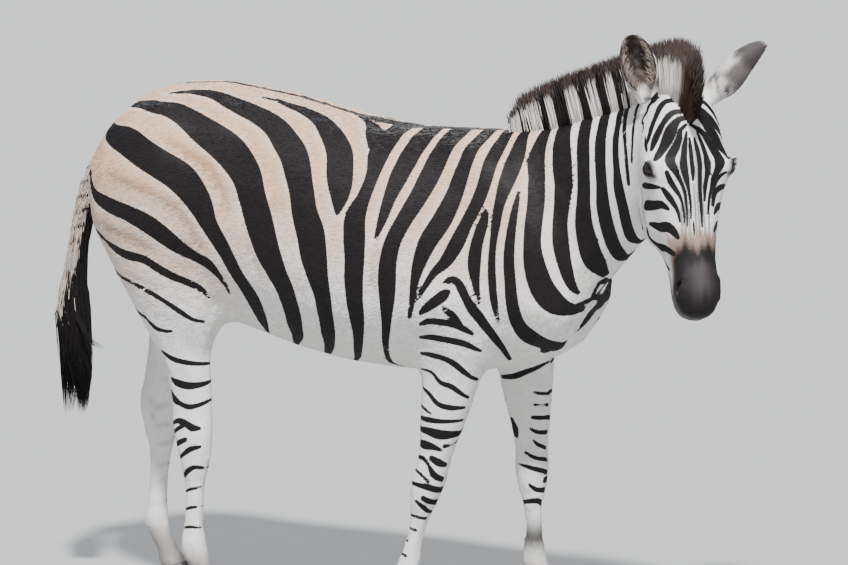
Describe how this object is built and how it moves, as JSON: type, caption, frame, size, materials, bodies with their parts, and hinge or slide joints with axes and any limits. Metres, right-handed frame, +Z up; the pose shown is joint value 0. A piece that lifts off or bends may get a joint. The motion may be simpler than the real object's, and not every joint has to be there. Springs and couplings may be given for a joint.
{
  "type": "zebra",
  "caption": "Life-size plains zebra standing still on its four hooves, with its head lowered and turned to its right, black and white stripes, upright mane and a tufted tail.",
  "frame": {"origin": "on the floor, under the middle of the whole animal's bounding box", "axes": "+X the way the body faces, +Y to the animal's left, +Z up"},
  "size_m": [1.9252, 0.5794, 1.5423],
  "materials": {
    "coat": "short flat hair, black stripes on white and warm buff",
    "long_hair": "coarse long hair, near black to dark brown, with white stripes in the mane",
    "eye": "glossy near black",
    "horn": "dark grey horn with faint growth rings"
  },
  "bodies": {
    "root": {"trunk": "coat", "neck": "coat", "head": "coat", "shoulder_right": "coat", "shoulder_left": "coat", "haunch_right": "coat", "haunch_left": "coat", "forearm_right": "coat", "forearm_left": "coat", "gaskin_right": "coat", "gaskin_left": "coat", "fore_cannon_right": "coat", "fore_cannon_left": "coat", "hind_cannon_right": "coat", "hind_cannon_left": "coat", "fore_pastern_right": "coat", "fore_pastern_left": "coat", "hind_pastern_right": "coat", "hind_pastern_left": "coat", "ear_right": "coat", "ear_left": "coat", "tail_dock": "coat", "tail_tuft": "long_hair", "mane": "long_hair", "eye_right": "eye", "eye_left": "eye", "hoof_fore_right": "horn", "hoof_fore_left": "horn", "hoof_hind_right": "horn", "hoof_hind_left": "horn"}
  },
  "joints": []
}
